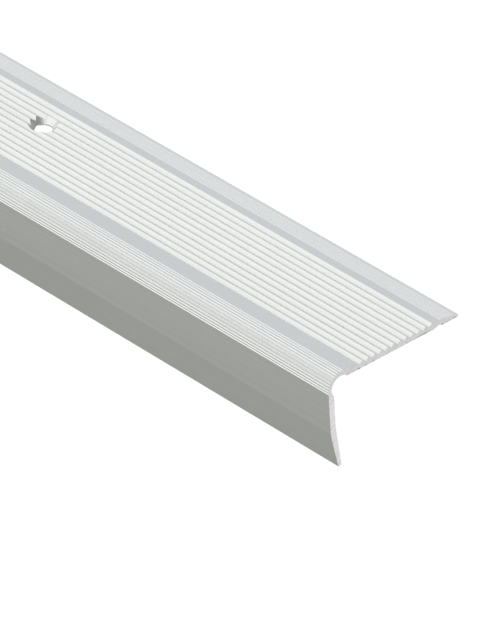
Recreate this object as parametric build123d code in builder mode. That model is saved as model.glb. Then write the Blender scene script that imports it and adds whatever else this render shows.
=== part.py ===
from build123d import *
import os
from math import atan2, cos, degrees, radians, sin, tan

# Ribbed stair nosing: one aluminium extrusion, drilled and countersunk for wood screws.
# +X runs along the stair edge, -Y is the front of the stair, +Z is up.
# The origin is the middle fixing hole, at the height of the tread that the deck lies on.

os.makedirs("parts", exist_ok=True)

# Whole profile
length = 900.0
tread_depth = 50.0
overall_height = 31.5
back_y = 18.8
front_y = back_y - tread_depth

# Deck, which lies on the tread and thins to the back so that it doesn't trip a foot
deck_thickness = 2.4
back_edge_thickness = 1.15
back_top_radius = 0.8
back_bottom_radius = 0.3

# Twelve saw-tooth ribs: a steep face to the front, a shallow one to the back
rib_count = 12
rib_pitch = 2.45
rib_depth = 1.05
rib_steep_run = 0.93
hole_offset_in_pitches = 3.5
ribs_back_y = hole_offset_in_pitches * rib_pitch

# Plain flat bands beside the ribs
back_band_width = 2.55
ramp_y = ribs_back_y + back_band_width

# Fine grooves along the ramp behind the back band, each a shallow trapezoid
ramp_groove_mouth = 0.5
ramp_groove_floor = 0.15
ramp_groove_depth = 0.18
ramp_groove_count = 7
ramp_groove_pitch = 0.86
ramp_angle = degrees(atan2(deck_thickness - back_edge_thickness, back_y - ramp_y))

# Rounded nose, with deeper fine grooves from the deck round to the leg
nose_radius = 4.9
nose_center = (front_y + nose_radius, deck_thickness - nose_radius)
nose_groove_mouth = 0.74
nose_groove_floor = 0.17
nose_groove_depth = 0.22
nose_groove_count = 11
nose_groove_start = 85.3
nose_groove_range = 99.7

# Hollow behind the nose, which clears a worn or rounded stair edge
relief_radius = 3.4
relief_center = (-26.5, -2.4)
relief_leg_angle = 222.5

# Leg, which hangs over the riser, leans back towards it in flats and thins to its tip
leg_thickness = 1.97
leg_upper_lean = 4.2
leg_middle_lean = 10.0
leg_lower_lean = 14.4
leg_inner_lean = 9.6
leg_bend_z = -16.6
leg_second_bend_z = -18.7
leg_inner_bend_z = -14.9
leg_bottom_z = deck_thickness - overall_height
leg_tip_outer_radius = 0.15
leg_tip_inner_radius = 0.45

# Shallow adhesive groove in the underside
glue_groove_mouth = (9.5, 12.5)
glue_groove_floor = (11.2, 11.85)
glue_groove_depth = 0.55

# Fixing holes along the middle of the ribs
hole_count = 3
hole_pitch = 298.0
hole_diameter = 5.4
countersink_diameter = 9.5
countersink_angle = 90.0


def leaning(start, lean, z):
    """Point at height z on a line from start that moves back by lean degrees as it falls."""
    return (start[0] + (start[1] - z) * tan(radians(lean)), z)


def on_circle(center, radius, angle):
    """Point of a circle at an angle in degrees, 90 at the top and 180 at the front."""
    return (
        center[0] + radius * cos(radians(angle)),
        center[1] + radius * sin(radians(angle)),
    )


def cut_fine_groove(mouth, floor, depth):
    """Cut one fine groove, with the local X axis pointing out of the surface."""
    Polygon(
        (0, -mouth / 2),
        (0, mouth / 2),
        (-depth, floor / 2),
        (-depth, -floor / 2),
        align=None,
        mode=Mode.SUBTRACT,
    )


# Corners of the leg's outer and inner faces
leg_outer_top = on_circle(nose_center, nose_radius, 180 + leg_upper_lean)
leg_outer_bend = leaning(leg_outer_top, leg_upper_lean, leg_bend_z)
leg_outer_second_bend = leaning(leg_outer_bend, leg_middle_lean, leg_second_bend_z)
leg_outer_tip = leaning(leg_outer_second_bend, leg_lower_lean, leg_bottom_z)
leg_inner_start = (leg_outer_top[0] + leg_thickness / cos(radians(leg_upper_lean)), leg_outer_top[1])
leg_inner_bend = leaning(leg_inner_start, leg_upper_lean, leg_inner_bend_z)
leg_inner_tip = leaning(leg_inner_bend, leg_inner_lean, leg_bottom_z)

# The relief circle meets the underside (z = 0) and the inner face of the leg
relief_foot_y = relief_center[0] + (relief_radius**2 - relief_center[1] ** 2) ** 0.5
relief_leg_corner = on_circle(relief_center, relief_radius, relief_leg_angle)

with BuildPart() as nosing_profile:
    with BuildSketch(Plane.YZ) as section:
        with BuildLine():
            Line((ramp_y, deck_thickness), (nose_center[0], deck_thickness))
            CenterArc(nose_center, nose_radius, 90, 90 + leg_upper_lean)
            Polyline(leg_outer_top, leg_outer_bend, leg_outer_second_bend, leg_outer_tip)
            Polyline(leg_outer_tip, leg_inner_tip, leg_inner_bend, relief_leg_corner)
            ThreePointArc(
                relief_leg_corner,
                on_circle(relief_center, relief_radius, 130),
                (relief_foot_y, 0),
            )
            Polyline(
                (relief_foot_y, 0),
                (glue_groove_mouth[0], 0),
                (glue_groove_floor[0], glue_groove_depth),
                (glue_groove_floor[1], glue_groove_depth),
                (glue_groove_mouth[1], 0),
                (back_y, 0),
                (back_y, back_edge_thickness),
                (ramp_y, deck_thickness),
            )
        make_face()
        # The sketch's own X and Y axes are the part's Y and Z
        fillet(section.vertices().group_by(Axis.X)[-1].sort_by(Axis.Y)[-1], back_top_radius)
        fillet(section.vertices().group_by(Axis.X)[-1].sort_by(Axis.Y)[0], back_bottom_radius)
        fillet(section.vertices().group_by(Axis.Y)[0].sort_by(Axis.X)[-1], leg_tip_inner_radius)
        fillet(section.vertices().group_by(Axis.Y)[0].sort_by(Axis.X)[0], leg_tip_outer_radius)

        # Ribs: one V per pitch, with its deepest line a steep run in front of the rib's top
        rib_backs = [(ribs_back_y - i * rib_pitch, deck_thickness) for i in range(rib_count)]
        with Locations(*rib_backs):
            Polygon(
                (0, 0),
                (-rib_pitch, 0),
                (-rib_steep_run, -rib_depth),
                align=None,
                mode=Mode.SUBTRACT,
            )

        # Fine grooves down the ramp, measured along its slope from the back band
        for i in range(ramp_groove_count):
            along = (i + 0.5) * ramp_groove_pitch
            fall = along * tan(radians(ramp_angle))
            with Locations(Location((ramp_y + along, deck_thickness - fall, 0), 90 - ramp_angle)):
                cut_fine_groove(ramp_groove_mouth, ramp_groove_floor, ramp_groove_depth)

        # Fine grooves round the nose
        with Locations(nose_center):
            with PolarLocations(
                nose_radius,
                nose_groove_count,
                nose_groove_start,
                nose_groove_range,
                endpoint=True,
            ):
                cut_fine_groove(nose_groove_mouth, nose_groove_floor, nose_groove_depth)
    extrude(amount=length / 2, both=True)
    with Locations((0, 0, deck_thickness)):
        with GridLocations(hole_pitch, 1, hole_count, 1):
            CounterSinkHole(
                hole_diameter / 2,
                countersink_diameter / 2,
                counter_sink_angle=countersink_angle,
            )

nosing_profile.part.label = "nosing_profile"
export_step(nosing_profile.part, "parts/nosing_profile.step")
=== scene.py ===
"""A ribbed stair nosing: one aluminium extrusion, silver anodised, sawn to length and drilled.

The strip's cross section is worked out as one closed outline and carried along X. The screw holes
are then cut, each kind of surface gets its finish, and a plain pale studio is set up round it.
All sizes are in metres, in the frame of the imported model.
"""

import logging
import math
from abc import ABC, abstractmethod
from dataclasses import dataclass
from enum import IntEnum
from functools import reduce
from typing import NamedTuple

import bpy
import numpy as np
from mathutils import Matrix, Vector


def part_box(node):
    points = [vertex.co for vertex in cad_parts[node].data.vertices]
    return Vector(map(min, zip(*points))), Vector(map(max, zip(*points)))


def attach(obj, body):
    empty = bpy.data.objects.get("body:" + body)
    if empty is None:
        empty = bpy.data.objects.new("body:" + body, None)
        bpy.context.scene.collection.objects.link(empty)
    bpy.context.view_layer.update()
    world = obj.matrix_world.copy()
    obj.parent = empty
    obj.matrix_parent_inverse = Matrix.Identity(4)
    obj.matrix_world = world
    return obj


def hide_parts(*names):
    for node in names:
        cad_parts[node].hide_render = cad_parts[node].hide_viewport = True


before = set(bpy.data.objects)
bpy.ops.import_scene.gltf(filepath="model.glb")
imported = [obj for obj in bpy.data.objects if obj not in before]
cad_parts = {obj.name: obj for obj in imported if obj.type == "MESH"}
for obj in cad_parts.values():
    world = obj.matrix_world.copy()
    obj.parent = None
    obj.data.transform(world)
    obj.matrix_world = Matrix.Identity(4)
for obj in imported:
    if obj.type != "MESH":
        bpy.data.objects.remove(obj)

MM = 0.001
CAD_NODE = "nosing_profile"
CAD_BODY = "root"
log = logging.getLogger("stair_nosing")

Socket = bpy.types.NodeSocket
Colour = tuple[float, float, float]
Range = tuple[float, float]


class Surface(IntEnum):
    """The kinds of surface on the strip, numbered as its material slots."""

    EXTRUDED = 0
    SAWN = 1
    DRILLED = 2


# ---------------------------------------------------------------- outline geometry


def on_circle(centre: np.ndarray, radius: float, degrees: np.ndarray) -> np.ndarray:
    """Points of a circle in the plane of Y and Z.

    Args:
        centre: The circle's centre, as Y and Z.
        radius: The circle's radius.
        degrees: Angles, 90 at the top and 180 at the front.

    Returns:
        One row of Y and Z for each angle.
    """
    turn = np.radians(np.atleast_1d(degrees))
    return centre + radius * np.column_stack((np.cos(turn), np.sin(turn)))


def leaning(start: np.ndarray, lean: float, z: float) -> np.ndarray:
    """Point at height z on a line that moves back by an angle as it falls.

    Args:
        start: Where the line starts, as Y and Z.
        lean: The line's lean from the vertical, in degrees.
        z: Height of the point.

    Returns:
        The point's Y and Z.
    """
    return np.array((start[0] + (start[1] - z) * math.tan(math.radians(lean)), z))


def with_radius(points: np.ndarray, radius: float) -> np.ndarray:
    """Gives a point, or every row of points, the same corner radius as a third column."""
    points = np.atleast_2d(points)
    return np.column_stack((points, np.full(len(points), radius)))


def rounded(corners: np.ndarray, steps: int) -> np.ndarray:
    """Rounds each corner of a closed outline with an arc that touches its two sides.

    The arc's centre lies on the corner's bisector, at the radius divided by the sine of half the
    corner's angle. Its points turn evenly from one side to the other, as the two radii at its ends
    mixed by the sines of the turn still to go and the turn made. No radius leaves a point.

    Args:
        corners: One row for each corner: Y, Z and its radius.
        steps: How many chords stand for an arc.

    Returns:
        One row of Y and Z for each point, with points that coincide taken out.
    """
    tiny = 1e-9
    same_place = 1e-7
    places, radii = corners[:, :2], corners[:, 2:]
    back = np.roll(places, 1, axis=0) - places
    ahead = np.roll(places, -1, axis=0) - places
    back /= np.linalg.norm(back, axis=1, keepdims=True)
    ahead /= np.linalg.norm(ahead, axis=1, keepdims=True)
    bisector = back + ahead
    bisector /= np.maximum(np.linalg.norm(bisector, axis=1, keepdims=True), tiny)
    half = np.arccos(np.clip((back * ahead).sum(axis=1, keepdims=True), -1, 1)) / 2
    centres = places + bisector * radii / np.sin(half)
    reach = radii / np.tan(half)
    first = places + back * reach - centres
    last = places + ahead * reach - centres
    turn = np.pi - 2 * half
    share = np.linspace(0, 1, steps + 1)[None, :, None]
    turn = turn[:, None, :]
    mixed = np.sin((1 - share) * turn) * first[:, None] + np.sin(share * turn) * last[:, None]
    arcs = centres[:, None] + mixed / np.maximum(np.sin(turn), tiny)
    points = arcs.reshape(-1, 2)
    apart = np.linalg.norm(points - np.roll(points, 1, axis=0), axis=1)
    return points[apart > same_place]


def outward(points: np.ndarray) -> np.ndarray:
    """Unit normals of a closed outline, each square to the line between a point's neighbours.

    Args:
        points: The outline, anticlockwise.

    Returns:
        One row for each point, pointing out of the outline.
    """
    along = np.roll(points, -1, axis=0) - np.roll(points, 1, axis=0)
    normals = np.column_stack((along[:, 1], -along[:, 0]))
    return normals / np.linalg.norm(normals, axis=1, keepdims=True)


@dataclass(frozen=True)
class FineGroove:
    """One of the fine grooves: a trapezoid cut square to the surface that it runs in."""

    mouth: float
    floor: float
    depth: float
    edge_radius: float = 0.03 * MM

    def corners(self, centres: np.ndarray) -> tuple[np.ndarray, np.ndarray, np.ndarray]:
        """The four corners of each groove, by distance along the surface.

        Args:
            centres: Distances of the grooves' middles along the surface.

        Returns:
            The corners' distances along the surface, their depths under it and their radii.
        """
        across = np.array((-self.mouth, -self.floor, self.floor, self.mouth)) / 2
        depths = np.array((0.0, self.depth, self.depth, 0.0))
        along = (centres[:, None] + across).ravel()
        return along, np.tile(depths, len(centres)), np.full(len(along), self.edge_radius)


@dataclass(frozen=True)
class Ramp:
    """The deck's back, which thins to the rear edge and has fine grooves along it."""

    groove: FineGroove = FineGroove(mouth=0.5 * MM, floor=0.15 * MM, depth=0.18 * MM)
    groove_count: int = 7
    groove_pitch: float = 0.86 * MM

    def corners(self, back: np.ndarray, front: np.ndarray) -> np.ndarray:
        """Corners from the rear edge to the back band.

        A point is the front end of the ramp, plus its distance along the ramp's direction, less
        the groove's depth along the ramp's normal. The first groove is half a pitch along.

        Args:
            back: Top corner of the rear edge, as Y and Z.
            front: Where the ramp meets the back band.

        Returns:
            One row for each corner: Y, Z and radius, without the ramp's two ends.
        """
        direction = (back - front) / np.linalg.norm(back - front)
        normal = np.array((-direction[1], direction[0]))
        middles = (np.arange(self.groove_count) + 0.5) * self.groove_pitch
        along, depth, radius = self.groove.corners(middles)
        points = front + along[:, None] * direction - depth[:, None] * normal
        return np.column_stack((points, radius))[::-1]


@dataclass(frozen=True)
class Ribs:
    """The saw-tooth ribs: a steep face to the front of each crest and a shallow one behind it."""

    count: int = 12
    pitch: float = 2.45 * MM
    depth: float = 1.05 * MM
    steep_run: float = 0.93 * MM
    pitches_behind_hole: float = 3.5
    crest_radius: float = 0.12 * MM
    valley_radius: float = 0.03 * MM

    @property
    def back_y(self) -> float:
        """Y of the rearmost crest; the screw holes are at Y = 0."""
        return self.pitches_behind_hole * self.pitch

    def corners(self, top: float) -> np.ndarray:
        """Crests and valleys in turn, from the rearmost crest to the foremost.

        Crests are a pitch apart at the deck's height, and each valley lies a steep run in front
        of its crest and a rib's depth below it.

        Args:
            top: Height of the deck.

        Returns:
            One row for each corner: Y, Z and radius.
        """
        crest_y = self.back_y - self.pitch * np.arange(self.count + 1)
        crests = np.column_stack((crest_y, np.full_like(crest_y, top)))
        valleys = crests[:-1] - (self.steep_run, self.depth)
        teeth = np.empty((2 * self.count + 1, 3))
        teeth[0::2] = with_radius(crests, self.crest_radius)
        teeth[1::2] = with_radius(valleys, self.valley_radius)
        return teeth


@dataclass(frozen=True)
class Nose:
    """The rounded nose, with fine grooves from the deck round to the leg.

    Its angles are in degrees round the nose, 0 at the top and 90 at the front.
    """

    radius: float = 4.9 * MM
    groove: FineGroove = FineGroove(mouth=0.74 * MM, floor=0.17 * MM, depth=0.22 * MM)
    groove_count: int = 11
    first_groove: float = -4.7
    groove_sweep: float = 99.7
    arc_step: float = 3.0

    def centre(self, front: float, top: float) -> np.ndarray:
        """Centre of the nose's circle, as Y and Z."""
        return np.array((front + self.radius, top - self.radius))

    def corners(self, front: float, top: float, leg_lean: float) -> np.ndarray:
        """Corners round the nose.

        The base line is the deck, then the circle, then the leg's face: at a distance along it,
        the angle is that distance over the radius, held between the arc's ends, and what is left
        over runs straight on along the arc's end tangent. A groove's corner lies its depth
        inside the base line, along the radius at its angle.

        Args:
            front: Y of the nose's foremost point.
            top: Height of the deck.
            leg_lean: Lean of the leg's upper face, in degrees.

        Returns:
            One row for each corner: Y, Z and radius.
        """
        sweep = math.radians(90 + leg_lean)
        middles = self.radius * np.radians(
            self.first_groove + np.linspace(0, self.groove_sweep, self.groove_count)
        )
        along, depth, radius = self.groove.corners(middles)
        arc = self.radius * np.linspace(0, sweep, round(math.degrees(sweep) / self.arc_step) + 1)
        gap = np.abs(arc[:, None] - middles).min(axis=1)
        arc = arc[gap > self.groove.mouth / 2 + 2 * self.groove.edge_radius]
        along = np.concatenate((along, arc))
        depth = np.concatenate((depth, np.zeros(len(arc))))
        radius = np.concatenate((radius, np.zeros(len(arc))))
        order = np.argsort(along)
        along, depth, radius = along[order, None], depth[order, None], radius[order, None]
        angle = np.clip(along / self.radius, 0, sweep)
        normal = np.column_stack((-np.sin(angle), np.cos(angle)))
        tangent = np.column_stack((-np.cos(angle), -np.sin(angle)))
        straight = along - self.radius * angle
        points = self.centre(front, top) + (self.radius - depth) * normal + straight * tangent
        return np.column_stack((points, radius))


@dataclass(frozen=True)
class Leg:
    """The leg over the riser, which leans back in flats and thins to its tip.

    Leans are in degrees from the vertical, and heights start at the deck's underside.
    """

    thickness: float = 1.97 * MM
    upper_lean: float = 4.2
    middle_lean: float = 10.0
    lower_lean: float = 14.4
    inner_lean: float = 9.6
    bend_z: float = -16.6 * MM
    second_bend_z: float = -18.7 * MM
    inner_bend_z: float = -14.9 * MM
    bend_radius: float = 6.0 * MM
    inner_bend_radius: float = 4.0 * MM
    tip_outer_radius: float = 0.15 * MM
    tip_inner_radius: float = 0.45 * MM

    def corners(self, top: np.ndarray, foot_z: float) -> np.ndarray:
        """Corners down the outer face, round the tip and up the inner face.

        Args:
            top: Where the outer face leaves the nose, as Y and Z.
            foot_z: Height of the tip.

        Returns:
            One row for each corner: Y, Z and radius.
        """
        bend = leaning(top, self.upper_lean, self.bend_z)
        second = leaning(bend, self.middle_lean, self.second_bend_z)
        tip = leaning(second, self.lower_lean, foot_z)
        across = self.thickness / math.cos(math.radians(self.upper_lean))
        inner_top = top + (across, 0.0)
        inner_bend = leaning(inner_top, self.upper_lean, self.inner_bend_z)
        inner_tip = leaning(inner_bend, self.inner_lean, foot_z)
        return np.vstack((
            with_radius(bend, self.bend_radius),
            with_radius(second, self.bend_radius),
            with_radius(tip, self.tip_outer_radius),
            with_radius(inner_tip, self.tip_inner_radius),
            with_radius(inner_bend, self.inner_bend_radius),
        ))


@dataclass(frozen=True)
class Underside:
    """The hollow behind the nose, the flat that lies on the tread and its adhesive groove.

    The hollow's angles are in degrees, 0 at the back, 90 at the top and 180 at the front.
    """

    relief_radius: float = 3.4 * MM
    relief_centre: tuple[float, float] = (-26.5 * MM, -2.4 * MM)
    relief_leg_angle: float = 222.5
    relief_step: float = 4.0
    relief_corner_radius: float = 0.1 * MM
    glue_mouth: Range = (9.5 * MM, 12.5 * MM)
    glue_floor: Range = (11.2 * MM, 11.85 * MM)
    glue_depth: float = 0.55 * MM

    def corners(self) -> np.ndarray:
        """Corners from the leg's inner face, round the hollow and back along the underside.

        Returns:
            One row for each corner: Y, Z and radius. The underside is at height 0.
        """
        centre = np.array(self.relief_centre)
        foot_angle = math.degrees(math.asin(-centre[1] / self.relief_radius))
        count = round((self.relief_leg_angle - foot_angle) / self.relief_step) + 1
        angles = np.linspace(self.relief_leg_angle, foot_angle, count)
        hollow = with_radius(on_circle(centre, self.relief_radius, angles), 0.0)
        hollow[[0, -1], 2] = self.relief_corner_radius
        glue = np.array((
            (self.glue_mouth[0], 0.0),
            (self.glue_floor[0], self.glue_depth),
            (self.glue_floor[1], self.glue_depth),
            (self.glue_mouth[1], 0.0),
        ))
        return np.vstack((hollow, with_radius(glue, self.relief_corner_radius)))


@dataclass(frozen=True)
class Section:
    """The strip's whole cross section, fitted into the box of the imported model."""

    ramp: Ramp = Ramp()
    ribs: Ribs = Ribs()
    nose: Nose = Nose()
    leg: Leg = Leg()
    underside: Underside = Underside()
    back_band: float = 2.55 * MM
    band_edge_radius: float = 0.3 * MM
    back_edge: float = 1.15 * MM
    back_top_radius: float = 0.8 * MM
    back_bottom_radius: float = 0.3 * MM
    chords_per_arc: int = 5

    def outline(self, low: Vector, high: Vector) -> np.ndarray:
        """The closed outline, anticlockwise as seen from the end at +X.

        It runs forward over the deck, down the leg, and back under the deck.

        Args:
            low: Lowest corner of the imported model.
            high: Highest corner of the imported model.

        Returns:
            One row of Y and Z for each point.
        """
        ramp_front = np.array((self.ribs.back_y + self.back_band, high.z))
        ramp_back = np.array((high.y, self.back_edge))
        nose_centre = self.nose.centre(low.y, high.z)
        leg_top = on_circle(nose_centre, self.nose.radius, 180 + self.leg.upper_lean)[0]
        corners = np.vstack((
            with_radius(ramp_back, self.back_top_radius),
            self.ramp.corners(ramp_back, ramp_front),
            with_radius(ramp_front, self.band_edge_radius),
            self.ribs.corners(high.z),
            self.nose.corners(low.y, high.z, self.leg.upper_lean),
            self.leg.corners(leg_top, low.z),
            self.underside.corners(),
            with_radius((high.y, 0.0), self.back_bottom_radius),
        ))
        return rounded(corners, self.chords_per_arc)


# ---------------------------------------------------------------- finishes


@dataclass(frozen=True)
class Grain:
    """A noise pattern in a finish.

    Its waves are how many a metre holds along X, Y and Z. Its detail is how many finer layers it
    has, and its tone is how much it lightens and darkens the colour.
    """

    waves: tuple[float, float, float]
    detail: float
    tone: float = 0.0


class Wiring:
    """A node tree being wired up, with short calls for what the finishes share.

    Noise keeps near its middle, so only a span of it is read when it changes tone or roughness.
    """

    tone_span: Range = (0.25, 0.75)
    roughness_span: Range = (0.3, 0.7)

    def __init__(self, tree: bpy.types.NodeTree) -> None:
        """Starts with an empty tree.

        Args:
            tree: The material's or world's node tree.
        """
        self.tree = tree
        tree.nodes.clear()

    def node(
        self, kind: str, inputs: dict[int | str, object] | None = None, **settings: object
    ) -> bpy.types.Node:
        """Adds a node.

        Args:
            kind: The node's type, without the ShaderNode at its start.
            inputs: What each input gets, by name or number: a socket to link or a plain value.
            settings: The node's own properties.

        Returns:
            The new node.
        """
        made = self.tree.nodes.new("ShaderNode" + kind)
        for name, value in settings.items():
            setattr(made, name, value)
        for key, value in (inputs or {}).items():
            if isinstance(value, Socket):
                self.tree.links.new(value, made.inputs[key])
            else:
                made.inputs[key].default_value = value
        return made

    def math(self, operation: str, *values: Socket | float) -> Socket:
        """Result of a Math node on numbers or sockets."""
        return self.node("Math", dict(enumerate(values)), operation=operation).outputs[0]

    def product(self, *factors: Socket) -> Socket:
        """All the factors multiplied together."""
        return reduce(lambda one, other: self.math("MULTIPLY", one, other), factors)

    def scaled(self, vector: Socket | Colour, factor: Socket) -> Socket:
        """A colour or another vector, times a number."""
        return self.node("VectorMath", {0: vector, "Scale": factor}, operation="SCALE").outputs[0]

    def remap(self, value: Socket, old: Range, new: Range) -> Socket:
        """Carries a value smoothly from one range to another, and holds it at the ends."""
        inputs = {0: value, 1: old[0], 2: old[1], 3: new[0], 4: new[1]}
        return self.node("MapRange", inputs, interpolation_type="SMOOTHSTEP").outputs[0]

    def painted_shade_factor(self, share: Socket, tone: float) -> Socket:
        """A factor that paints shade: 1 where the share is 0, and the tone where the share is 1.
        """
        return self.math("SUBTRACT", 1.0, self.math("MULTIPLY", share, 1 - tone))

    def noise(self, where: Socket, grain: Grain, turn: float = 0.0) -> Socket:
        """Noise with its own grain along each axis.

        Args:
            where: The coordinates to read.
            grain: How fine the noise is.
            turn: Turn of the pattern about X, in radians.

        Returns:
            The noise, from 0 to 1 about a middle of 0.5.
        """
        turned = self.node("Mapping", {"Vector": where, "Rotation": (turn, 0.0, 0.0)}).outputs[0]
        placed = self.node("Mapping", {"Vector": turned, "Scale": grain.waves}).outputs[0]
        inputs = {"Vector": placed, "Scale": 1.0, "Detail": grain.detail}
        return self.node("TexNoise", inputs).outputs[0]

    def tint(self, colour: Colour, *parts: tuple[Socket, Grain]) -> Socket:
        """A colour made lighter and darker by several patterns.

        Each pattern gives a factor that swings about 1 by its grain's tone.

        Args:
            colour: The colour at every pattern's middle.
            parts: Patterns from 0 to 1, each with its grain.

        Returns:
            The varied colour.
        """
        swings = (
            self.remap(pattern, self.tone_span, (1 - grain.tone / 2, 1 + grain.tone / 2))
            for pattern, grain in parts
        )
        return self.scaled(colour, self.product(*swings))


class Pattern(NamedTuple):
    """What a finish gives its metal: colour, what the roughness follows, and height."""

    tone: Socket
    gloss: Socket
    height: Socket


@dataclass(frozen=True, kw_only=True)
class MetalFinish(ABC):
    """What the finishes share: metal with one pattern in its colour, roughness and height."""

    name: str
    colour: Colour
    roughness: Range
    bump_strength: float
    bump_height: float

    @abstractmethod
    def pattern(self, wiring: Wiring, where: Socket) -> Pattern:
        """Wires the finish's own pattern.

        Args:
            wiring: The material's node tree.
            where: The object's own coordinates.

        Returns:
            The pattern's three parts.
        """

    def material(self) -> bpy.types.Material:
        """Builds the finish.

        Returns:
            The material, with its pattern in colour, roughness and height.
        """
        made = bpy.data.materials.new(self.name)
        made.use_nodes = True
        wiring = Wiring(made.node_tree)
        pattern = self.pattern(wiring, wiring.node("TexCoord").outputs["Object"])
        bump = wiring.node("Bump", {
            "Strength": self.bump_strength,
            "Distance": self.bump_height,
            "Height": pattern.height,
        })
        shader = wiring.node("BsdfPrincipled", {
            "Base Color": pattern.tone,
            "Metallic": 1.0,
            "Roughness": wiring.remap(pattern.gloss, wiring.roughness_span, self.roughness),
            "Normal": bump.outputs[0],
        })
        wiring.node("OutputMaterial", {"Surface": shader.outputs[0]})
        return made


@dataclass(frozen=True, kw_only=True)
class AnodisedFinish(MetalFinish):
    """Silver anodising over drawn aluminium: an even satin, with the die's lines along X.

    The walls that face down in the nose's lower grooves get painted shade that darkens their
    colour.
    """

    nose_centre: np.ndarray
    nose_radius: float
    name: str = "silver_anodised"
    colour: Colour = (0.80, 0.81, 0.80)
    roughness: Range = (0.36, 0.44)
    die_lines: Grain = Grain((1.5, 2600.0, 2600.0), detail=3.0, tone=0.035)
    etch: Grain = Grain((5000.0, 9000.0, 9000.0), detail=1.0, tone=0.02)
    etch_height: float = 0.5
    cloud: Grain = Grain((9.0, 60.0, 60.0), detail=2.0, tone=0.02)
    # Painted shade on the nose's down-facing groove walls: its darkest tone, the normal heights it
    # spans and its reach.
    painted_shade_tone: float = 0.46
    painted_shade_normals: Range = (-0.4, 0.15)
    painted_shade_reach: Range = (0.97, 0.65)
    bump_strength: float = 0.15
    bump_height: float = 0.004 * MM

    def groove_painted_shade(self, wiring: Wiring, where: Socket) -> Socket:
        """How much painted shade darkens the nose's groove walls.

        A wall gets painted shade where its normal's height component is low, and where its Y is
        near the nose's foremost point, as a share of the nose's radius. Both pass smoothly.
        Nothing outside the nose's circle gets painted shade, which leaves out the leg.

        Args:
            wiring: The material's node tree.
            where: The object's own coordinates.

        Returns:
            A factor for the colour: 1 away from the painted shade.
        """
        y, z = self.nose_centre
        across = {"Vector": where, "Location": (0.0, -y, -z), "Scale": (0.0, 1.0, 1.0)}
        from_centre = wiring.node("Mapping", across).outputs[0]
        distance = wiring.node("VectorMath", {0: from_centre}, operation="LENGTH").outputs["Value"]
        place = wiring.node("SeparateXYZ", {"Vector": where}).outputs
        normal = wiring.node("NewGeometry").outputs["True Normal"]
        facing = wiring.node("SeparateXYZ", {"Vector": normal}).outputs
        front = tuple(y - share * self.nose_radius for share in self.painted_shade_reach)
        # Painted shade: its share is highest on down-facing walls near the nose's front.
        share = wiring.product(
            wiring.remap(facing["Z"], self.painted_shade_normals, (1.0, 0.0)),
            wiring.remap(place["Y"], front, (1.0, 0.0)),
            wiring.math("LESS_THAN", distance, self.nose_radius),
        )
        return wiring.painted_shade_factor(share, self.painted_shade_tone)

    def pattern(self, wiring: Wiring, where: Socket) -> Pattern:
        """Die lines and etched grain under a faint cloud, with painted shade on the groove walls.

        Args:
            wiring: The material's node tree.
            where: The object's own coordinates.

        Returns:
            The varied colour, the die lines, and the lines and grain as height.
        """
        lines = wiring.noise(where, self.die_lines)
        etch = wiring.noise(where, self.etch)
        cloud = wiring.noise(where, self.cloud)
        tone = wiring.tint(
            self.colour, (lines, self.die_lines), (etch, self.etch), (cloud, self.cloud)
        )
        height = wiring.math("ADD", lines, wiring.math("MULTIPLY", etch, self.etch_height))
        # The colour carries the painted shade of the groove walls.
        return Pattern(wiring.scaled(tone, self.groove_painted_shade(wiring, where)), lines, height)


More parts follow.
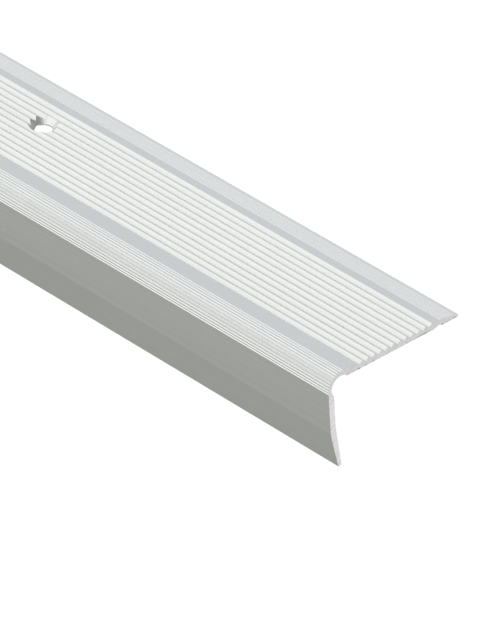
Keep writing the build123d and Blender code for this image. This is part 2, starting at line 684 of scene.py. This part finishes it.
@dataclass(frozen=True, kw_only=True)
class SawnFinish(MetalFinish):
    """The bare sawn end: slanting marks of the saw's teeth over a dull, mottled metal.

    The deck's end has painted shade that makes it darker than the leg's, and small painted burr
    shadows along its underside.
    """

    name: str = "sawn_aluminium"
    colour: Colour = (0.735, 0.723, 0.733)
    roughness: Range = (0.5, 0.62)
    mark_slant: float = 32.0
    marks: Grain = Grain((300.0, 90.0, 1150.0), detail=2.0, tone=0.34)
    mottle: Grain = Grain((1500.0, 1500.0, 1500.0), detail=3.0, tone=0.14)
    mottle_height: float = 0.4
    # Painted shade: the end darkens to this tone towards the deck, over this span of height.
    deck_shade_tone: float = 0.91
    deck_shade_fade: Range = (-9.0 * MM, 1.0 * MM)
    # Painted burr shadows: dark spots of noise just above the deck's underside.
    burr_shadow_noise: Grain = Grain((200.0, 750.0, 1200.0), detail=1.0)
    burr_shadow_height: Range = (0.15 * MM, 0.75 * MM)
    burr_shadow_level: Range = (0.5, 0.62)
    burr_shadow_tone: float = 0.5
    burr_shadows_behind_y: float = -25.0 * MM
    bump_strength: float = 0.6
    bump_height: float = 0.02 * MM

    def painted_burr_shadow(self, wiring: Wiring, where: Socket) -> Socket:
        """How much the painted burr shadows darken the end.

        A painted burr shadow shows where a noise is high, just above the deck's underside, which
        is at height 0. The height's share is full up to one level and gone at a second. There are
        none below the underside, or in front of the hollow behind the nose.

        Args:
            wiring: The material's node tree.
            where: The object's own coordinates.

        Returns:
            A factor for the colour: 1 away from the painted burr shadows.
        """
        place = wiring.node("SeparateXYZ", {"Vector": where}).outputs
        # Painted shadow: dark spots just above the deck's underside at its sawn end.
        share = wiring.product(
            wiring.remap(wiring.noise(where, self.burr_shadow_noise), self.burr_shadow_level, (0.0, 1.0)),
            wiring.remap(place["Z"], self.burr_shadow_height, (1.0, 0.0)),
            wiring.math("GREATER_THAN", place["Z"], -self.burr_shadow_height[0]),
            wiring.math("GREATER_THAN", place["Y"], self.burr_shadows_behind_y),
        )
        return wiring.painted_shade_factor(share, self.burr_shadow_tone)

    def pattern(self, wiring: Wiring, where: Socket) -> Pattern:
        """Marks at one slant over a mottle, with painted shade towards the deck and painted burr
        shadows.

        Args:
            wiring: The material's node tree.
            where: The object's own coordinates.

        Returns:
            The varied colour, the marks, and the marks and mottle as height.
        """
        height = wiring.node("SeparateXYZ", {"Vector": where}).outputs["Z"]
        marks = wiring.noise(where, self.marks, turn=-math.radians(self.mark_slant))
        mottle = wiring.noise(where, self.mottle)
        tone = wiring.tint(self.colour, (marks, self.marks), (mottle, self.mottle))
        # Painted shade towards the deck, times the painted burr shadows.
        shade = wiring.product(
            wiring.remap(height, self.deck_shade_fade, (1.0, self.deck_shade_tone)),
            self.painted_burr_shadow(wiring, where),
        )
        relief = wiring.math("ADD", marks, wiring.math("MULTIPLY", mottle, self.mottle_height))
        return Pattern(wiring.scaled(tone, shade), marks, relief)


@dataclass(frozen=True, kw_only=True)
class DrilledFinish(MetalFinish):
    """The bare countersinks: fine rings left by the cutter, about each hole's own axis."""

    hole_pitch: float
    name: str = "drilled_aluminium"
    colour: Colour = (0.80, 0.81, 0.80)
    roughness: Range = (0.3, 0.42)
    rings: Grain = Grain((5500.0, 1.0, 1.0), detail=2.0, tone=0.12)
    height_share: float = 0.5
    bump_strength: float = 0.5
    bump_height: float = 0.01 * MM

    def pattern(self, wiring: Wiring, where: Socket) -> Pattern:
        """Rings about the nearest hole's axis.

        The distance from that axis is the length of Y and of X wrapped to one hole pitch. Rings
        are noise along that distance plus a share of the height.

        Args:
            wiring: The material's node tree.
            where: The object's own coordinates.

        Returns:
            The rings, in all three parts.
        """
        place = wiring.node("SeparateXYZ", {"Vector": where}).outputs
        half = self.hole_pitch / 2
        across = wiring.math("WRAP", place["X"], half, -half)
        flat = wiring.node("CombineXYZ", {"X": across, "Y": place["Y"]}).outputs[0]
        reach = wiring.node("VectorMath", {0: flat}, operation="LENGTH").outputs["Value"]
        rise = wiring.math("MULTIPLY", place["Z"], self.height_share)
        along = wiring.node("CombineXYZ", {"X": wiring.math("ADD", reach, rise)}).outputs[0]
        rings = wiring.noise(along, self.rings)
        return Pattern(wiring.tint(self.colour, (rings, self.rings)), rings, rings)


# ---------------------------------------------------------------- the strip


@dataclass(frozen=True)
class ScrewHoles:
    """The countersunk screw holes along the middle of the ribs."""

    count: int = 3
    pitch: float = 298.0 * MM
    bore_radius: float = 2.7 * MM
    countersink_radius: float = 4.75 * MM
    half_angle: float = 45.0
    clearance: float = 1.0 * MM
    facets: int = 96

    def cutter(self, top: float) -> bpy.types.Object:
        """Builds the solids that cut the holes.

        Each is a surface of turning: its radius is the bore's up to the foot of the countersink,
        and above that it grows by the tangent of the half angle for each step in height.

        Args:
            top: Height of the deck.

        Returns:
            One object with a closed solid for each hole.
        """
        spread = math.tan(math.radians(self.half_angle))
        foot = top - (self.countersink_radius - self.bore_radius) / spread
        heights = np.array((-self.clearance, foot, top + self.clearance))
        radii = self.bore_radius + np.maximum(heights - foot, 0.0) * spread
        turn = np.linspace(0, 2 * np.pi, self.facets, endpoint=False)
        ring = np.column_stack((np.cos(turn), np.sin(turn), np.zeros(self.facets)))
        axis = np.array((0.0, 0.0, 1.0))
        one = radii[:, None, None] * ring[None] + heights[:, None, None] * axis
        axes_x = (np.arange(self.count) - (self.count - 1) / 2) * self.pitch
        shifts = axes_x[:, None, None, None] * np.array((1.0, 0.0, 0.0))
        points = (one[None] + shifts).reshape(-1, 3)
        near = np.arange(self.facets)
        far = (near + 1) % self.facets
        step = self.facets
        wall = np.column_stack((near, far, far + step, near + step))
        per_hole = len(heights) * self.facets
        faces: list[list[int]] = []
        for hole in range(self.count):
            start = hole * per_hole
            faces += (wall + start).tolist() + (wall + start + step).tolist()
            faces += [(near[::-1] + start).tolist(), (near + start + 2 * step).tolist()]
        mesh = bpy.data.meshes.new("screw_hole_cutter")
        mesh.from_pydata(points, [], faces)
        mesh.polygons.foreach_set("material_index", np.full(len(faces), Surface.DRILLED, np.int32))
        made = bpy.data.objects.new(mesh.name, mesh)
        bpy.context.scene.collection.objects.link(made)
        return made


@dataclass(frozen=True)
class RibbedStrip:
    """The whole extrusion, from one sawn end to the other.

    Edges that turn by more than the crease, in degrees, stay crisp.
    """

    low: Vector
    high: Vector
    section: Section = Section()
    holes: ScrewHoles = ScrewHoles()
    station_gap: float = 25.0 * MM
    end_edge: float = 0.02 * MM
    crease: float = 33.0
    flat_weight: int = 100

    def extruded(self) -> bpy.types.Object:
        """Carries the outline along X.

        Rings of the outline stand at even stations, with one more just inside each end. The two
        end rings are drawn in along the outline's normals, which breaks the sawn edges.

        Returns:
            The uncut strip, as a closed surface with a flat face at each end.
        """
        outline = self.section.outline(self.low, self.high)
        inset = outline - self.end_edge * outward(outline)
        span = self.high.x - self.low.x
        inner = np.linspace(
            self.low.x + self.end_edge, self.high.x - self.end_edge, round(span / self.station_gap)
        )
        stations = np.concatenate(([self.low.x], inner, [self.high.x]))
        rings = np.repeat(outline[None], len(stations), axis=0)
        rings[[0, -1]] = inset
        across = np.broadcast_to(stations[:, None, None], (*rings.shape[:2], 1))
        points = np.concatenate((across, rings), axis=2).reshape(-1, 3)
        count = len(outline)
        here = np.arange(count)
        beside = (here + 1) % count
        starts = (np.arange(len(stations) - 1) * count)[:, None, None]
        quad = np.column_stack((here, beside, beside + count, here + count))
        sides = (starts + quad).reshape(-1, 4)
        last = (len(stations) - 1) * count
        caps = [here[::-1].tolist(), (here + last).tolist()]
        mesh = bpy.data.meshes.new("ribbed_strip")
        mesh.from_pydata(points, [], sides.tolist() + caps)
        kinds = np.full(len(mesh.polygons), Surface.EXTRUDED, np.int32)
        kinds[-2:] = Surface.SAWN
        mesh.polygons.foreach_set("material_index", kinds)
        made = bpy.data.objects.new(mesh.name, mesh)
        bpy.context.scene.collection.objects.link(made)
        return made

    def cut_holes(self, strip: bpy.types.Object) -> None:
        """Cuts the screw holes out of the strip's mesh, and removes the cutter.

        Args:
            strip: The uncut strip.
        """
        cutter = self.holes.cutter(self.high.z)
        cut = strip.modifiers.new("screw_holes", "BOOLEAN")
        cut.operation = "DIFFERENCE"
        cut.solver = "EXACT"
        cut.object = cutter
        settled = bpy.context.evaluated_depsgraph_get()
        drilled = bpy.data.meshes.new_from_object(strip.evaluated_get(settled))
        strip.modifiers.clear()
        uncut = strip.data
        strip.data = drilled
        drilled.name = "ribbed_strip_drilled"
        bpy.data.meshes.remove(uncut)
        bpy.data.meshes.remove(cutter.data)

    def shade(self, strip: bpy.types.Object) -> None:
        """Shades round stretches smooth and keeps every crisp edge, with flats kept flat.

        Args:
            strip: The drilled strip.
        """
        mesh = strip.data
        mesh.polygons.foreach_set("use_smooth", np.ones(len(mesh.polygons), bool))
        mesh.set_sharp_from_angle(angle=math.radians(self.crease))
        weighted = strip.modifiers.new("flats_stay_flat", "WEIGHTED_NORMAL")
        weighted.mode = "FACE_AREA"
        weighted.weight = self.flat_weight
        weighted.keep_sharp = True

    def build(self) -> bpy.types.Object:
        """Makes the finished strip.

        Returns:
            The strip, with its three finishes in their material slots.
        """
        strip = self.extruded()
        nose = self.section.nose
        finishes = (
            AnodisedFinish(
                nose_centre=nose.centre(self.low.y, self.high.z), nose_radius=nose.radius
            ),
            SawnFinish(),
            DrilledFinish(hole_pitch=self.holes.pitch),
        )
        for finish in finishes:
            strip.data.materials.append(finish.material())
        self.cut_holes(strip)
        self.shade(strip)
        return strip


# ---------------------------------------------------------------- studio


@dataclass(frozen=True)
class SoftPanel:
    """A soft light panel far from the strip: a round glow on the studio's dome.

    Its inner and outer angles are in degrees from its direction.
    """

    direction: tuple[float, float, float]
    strength: float
    colour: Colour = (1.0, 1.0, 1.0)
    inner: float = 15.0
    outer: float = 55.0

    def glow(self, wiring: Wiring, ray: Socket) -> Socket:
        """The panel's light along a ray.

        It is full within the inner angle from the panel's direction, and falls smoothly to
        nothing at the outer angle.

        Args:
            wiring: The world's node tree.
            ray: Direction of the ray.

        Returns:
            The light, as a colour.
        """
        towards = Vector(self.direction).normalized()
        facing = wiring.node("VectorMath", {0: ray, 1: towards}, operation="DOT_PRODUCT")
        edges = tuple(math.cos(math.radians(angle)) for angle in (self.outer, self.inner))
        level = wiring.remap(facing.outputs["Value"], edges, (0.0, self.strength))
        return wiring.scaled(self.colour, level)


@dataclass(frozen=True)
class Studio:
    """A plain pale floor under a dome of soft panels."""

    floor_z: float
    ambient: Colour = (0.305, 0.311, 0.291)
    panels: tuple[SoftPanel, ...] = (
        SoftPanel((-0.60, -0.66, 0.40), 0.84, (0.99, 1.0, 1.0), inner=12.0, outer=61.0),
        SoftPanel((-0.61, -0.79, -0.05), 0.08, (1.0, 1.0, 0.95), inner=8.0, outer=44.0),
        SoftPanel((-0.55, 0.55, 0.60), 0.33, (0.91, 0.95, 1.10), inner=15.0, outer=60.0),
        SoftPanel((-0.60, 0.80, 0.12), 0.29, (0.98, 0.99, 1.0), inner=8.0, outer=44.0),
        SoftPanel((0.62, 0.57, -0.54), 1.07, (1.0, 0.98, 0.99), inner=15.0, outer=46.0),
        SoftPanel((0.25, -0.60, 0.76), 0.61, (1.0, 1.0, 1.0), inner=10.0, outer=33.0),
        SoftPanel((-0.60, -0.20, -0.77), 0.08, (1.0, 1.0, 0.90), inner=8.0, outer=27.0),
        SoftPanel((0.70, -0.68, 0.12), 0.45, (1.0, 1.0, 1.0), inner=15.0, outer=50.0),
    )
    floor_radius: float = 60.0
    floor_segments: int = 128
    floor_colour: Colour = (0.22, 0.22, 0.22)
    floor_glow: float = 0.93
    backdrop: float = 1.0

    def light(self) -> None:
        """Wires the dome: the ambient light plus every panel's glow, and a pale backdrop."""
        world = bpy.data.worlds.new("soft_dome")
        world.use_nodes = True
        wiring = Wiring(world.node_tree)
        ray = wiring.node("TexCoord").outputs["Generated"]
        total = wiring.node("CombineXYZ", dict(enumerate(self.ambient))).outputs[0]
        for panel in self.panels:
            inputs = {0: total, 1: panel.glow(wiring, ray)}
            total = wiring.node("VectorMath", inputs, operation="ADD").outputs[0]
        dome = wiring.node("Background", {"Color": total}).outputs[0]
        pale = (self.backdrop, self.backdrop, self.backdrop, 1.0)
        backdrop = wiring.node("Background", {"Color": pale}).outputs[0]
        seen = wiring.node("LightPath").outputs["Is Camera Ray"]
        mixed = wiring.node("MixShader", {0: seen, 1: dome, 2: backdrop}).outputs[0]
        wiring.node("OutputWorld", {"Surface": mixed})
        bpy.context.scene.world = world

    def floor(self) -> bpy.types.Object:
        """Lays the floor.

        Returns:
            A wide disc that glows a little, so that it stays pale and takes only faint shadows.
        """
        turn = np.linspace(0, 2 * np.pi, self.floor_segments, endpoint=False)
        flat = np.full_like(turn, self.floor_z)
        rim = np.column_stack((
            self.floor_radius * np.cos(turn), self.floor_radius * np.sin(turn), flat,
        ))
        mesh = bpy.data.meshes.new("pale_floor")
        mesh.from_pydata(rim, [], [list(range(self.floor_segments))])
        made = bpy.data.materials.new("pale_floor")
        made.use_nodes = True
        wiring = Wiring(made.node_tree)
        shader = wiring.node("BsdfPrincipled", {
            "Base Color": (*self.floor_colour, 1.0),
            "Roughness": 1.0,
            "Specular IOR Level": 0.0,
            "Emission Color": (1.0, 1.0, 1.0, 1.0),
            "Emission Strength": self.floor_glow,
        })
        wiring.node("OutputMaterial", {"Surface": shader.outputs[0]})
        mesh.materials.append(made)
        floor = bpy.data.objects.new(mesh.name, mesh)
        floor.visible_glossy = False
        bpy.context.scene.collection.objects.link(floor)
        return floor


@dataclass(frozen=True)
class Viewpoint:
    """A long lens that looks down on the strip's near end from its front right.

    Its angles are in degrees, and its lens and sensor width are in millimetres.
    """

    azimuth: float = 46.77
    elevation: float = 33.51
    lens: float = 412.2
    sensor: float = 36.0
    distance: float = 2.0007
    clip: Range = (0.1, 200.0)
    aim_from_end: float = 38.49 * MM
    aim_from_front: float = 5.64 * MM

    def place(self, low: Vector, high: Vector) -> bpy.types.Object:
        """Stands the camera back from a point of the deck, along the viewing direction.

        Args:
            low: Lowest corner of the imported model.
            high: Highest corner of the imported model.

        Returns:
            The scene's camera.
        """
        turn, rise = math.radians(self.azimuth), math.radians(self.elevation)
        level = math.cos(rise)
        back = Vector((math.sin(turn) * level, -math.cos(turn) * level, math.sin(rise)))
        aim = Vector((high.x - self.aim_from_end, low.y + self.aim_from_front, high.z))
        data = bpy.data.cameras.new("long_lens")
        data.lens = self.lens
        data.sensor_width = self.sensor
        data.clip_start, data.clip_end = self.clip
        camera = bpy.data.objects.new(data.name, data)
        camera.location = aim + back * self.distance
        camera.rotation_mode = "QUATERNION"
        camera.rotation_quaternion = (-back).to_track_quat("-Z", "Y")
        bpy.context.scene.collection.objects.link(camera)
        bpy.context.scene.camera = camera
        return camera


def main() -> None:
    """Builds the strip, then the studio and the camera, and reports each piece."""
    logging.basicConfig(level=logging.INFO, format="%(name)s: %(message)s")
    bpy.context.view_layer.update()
    low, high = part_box(CAD_NODE)
    strip = RibbedStrip(low, high).build()
    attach(strip, CAD_BODY)
    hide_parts(CAD_NODE)
    log.info("%s: %d faces on body %s", strip.name, len(strip.data.polygons), CAD_BODY)
    studio = Studio(floor_z=low.z)
    studio.light()
    floor = studio.floor()
    log.info("%s at height %.4f", floor.name, low.z)
    bpy.context.scene.view_settings.view_transform = "Standard"
    camera = Viewpoint().place(low, high)
    log.info("camera %s", camera.name)


if __name__ == "__main__":
    main()
